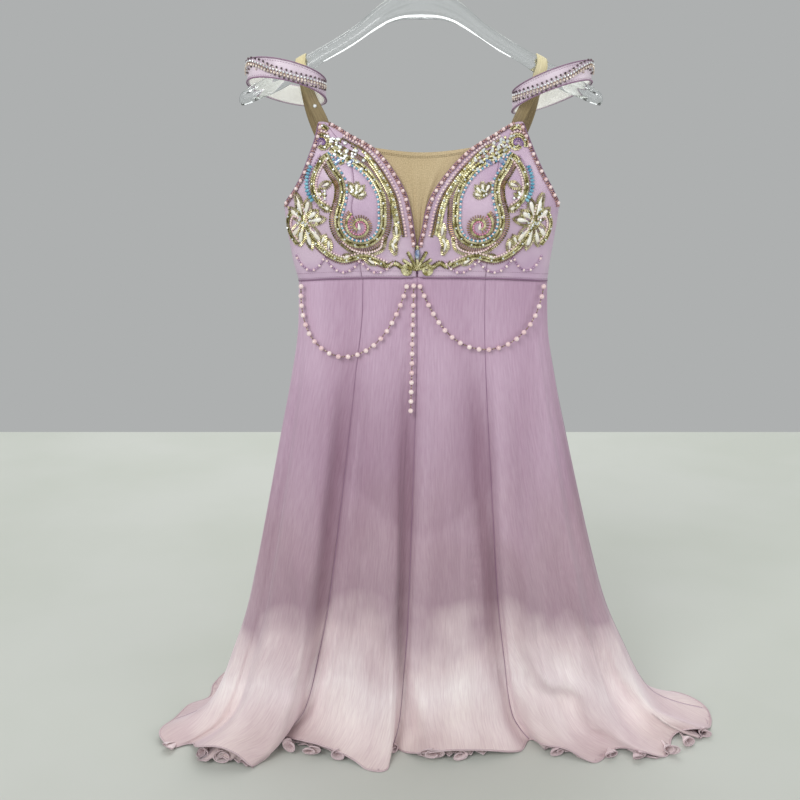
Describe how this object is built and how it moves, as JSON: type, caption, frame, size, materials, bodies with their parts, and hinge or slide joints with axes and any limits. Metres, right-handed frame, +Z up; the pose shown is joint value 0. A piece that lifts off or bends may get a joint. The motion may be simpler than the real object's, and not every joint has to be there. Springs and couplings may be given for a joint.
{
  "type": "ballet dress on a clear hanger",
  "caption": "Beaded bodice with a nude V insert, elastic straps, loose armbands and a long gored chiffon skirt, hung on a clear hanger by its hook.",
  "frame": {"origin": "the point inside the top of the hook where a rail carries it", "axes": "+Z up, -Y the way the front of the dress faces, +X to the right as seen from the front"},
  "size_m": [0.701, 0.2511, 0.9694],
  "materials": {
    "satin": "lilac duchess satin, soft sheen",
    "chiffon": "crinkle chiffon dyed from mauve at the waist to pale dusty pink at the hem",
    "nude_mesh": "nude stretch mesh, matt",
    "nude_elastic": "nude lingerie elastic, matt",
    "white_lining": "white lining satin",
    "leotard": "lilac stretch knit",
    "clear_plastic": "clear moulded styrene, polished",
    "steel": "plated steel wire",
    "gold_beads": "gold bullion, sequins and glass beads on the satin",
    "pearls": "pale pink glass pearls"
  },
  "bodies": {
    "root": {"bodice_front_centre_left": "satin", "bodice_front_side_left": "satin", "bodice_back_left": "satin", "bodice_front_centre_right": "satin", "bodice_front_side_right": "satin", "bodice_back_right": "satin", "back_placket": "satin", "armband_left": "satin", "armband_right": "satin", "armband_lining_left": "white_lining", "armband_lining_right": "white_lining", "insert_nude_mesh": "nude_mesh", "strap_left": "nude_elastic", "strap_right": "nude_elastic", "skirt_front_centre_right": "chiffon", "skirt_front_side_right": "chiffon", "skirt_back_side_right": "chiffon", "skirt_back_centre_right": "chiffon", "skirt_back_centre_left": "chiffon", "skirt_back_side_left": "chiffon", "skirt_front_side_left": "chiffon", "skirt_front_centre_left": "chiffon", "leotard_front": "leotard", "leotard_back": "leotard", "hanger_body": "clear_plastic", "hanger_hook": "steel", "beading_paisley_left": "gold_beads", "beading_paisley_right": "gold_beads", "beading_vine_left": "gold_beads", "beading_vine_right": "gold_beads", "beading_centre": "gold_beads", "edging_neck_left": "pearls", "edging_neck_right": "pearls", "edging_arm_left": "pearls", "edging_arm_right": "pearls", "pearl_swag_left": "pearls", "pearl_swag_right": "pearls", "pearl_drop_centre": "pearls"}
  },
  "joints": []
}
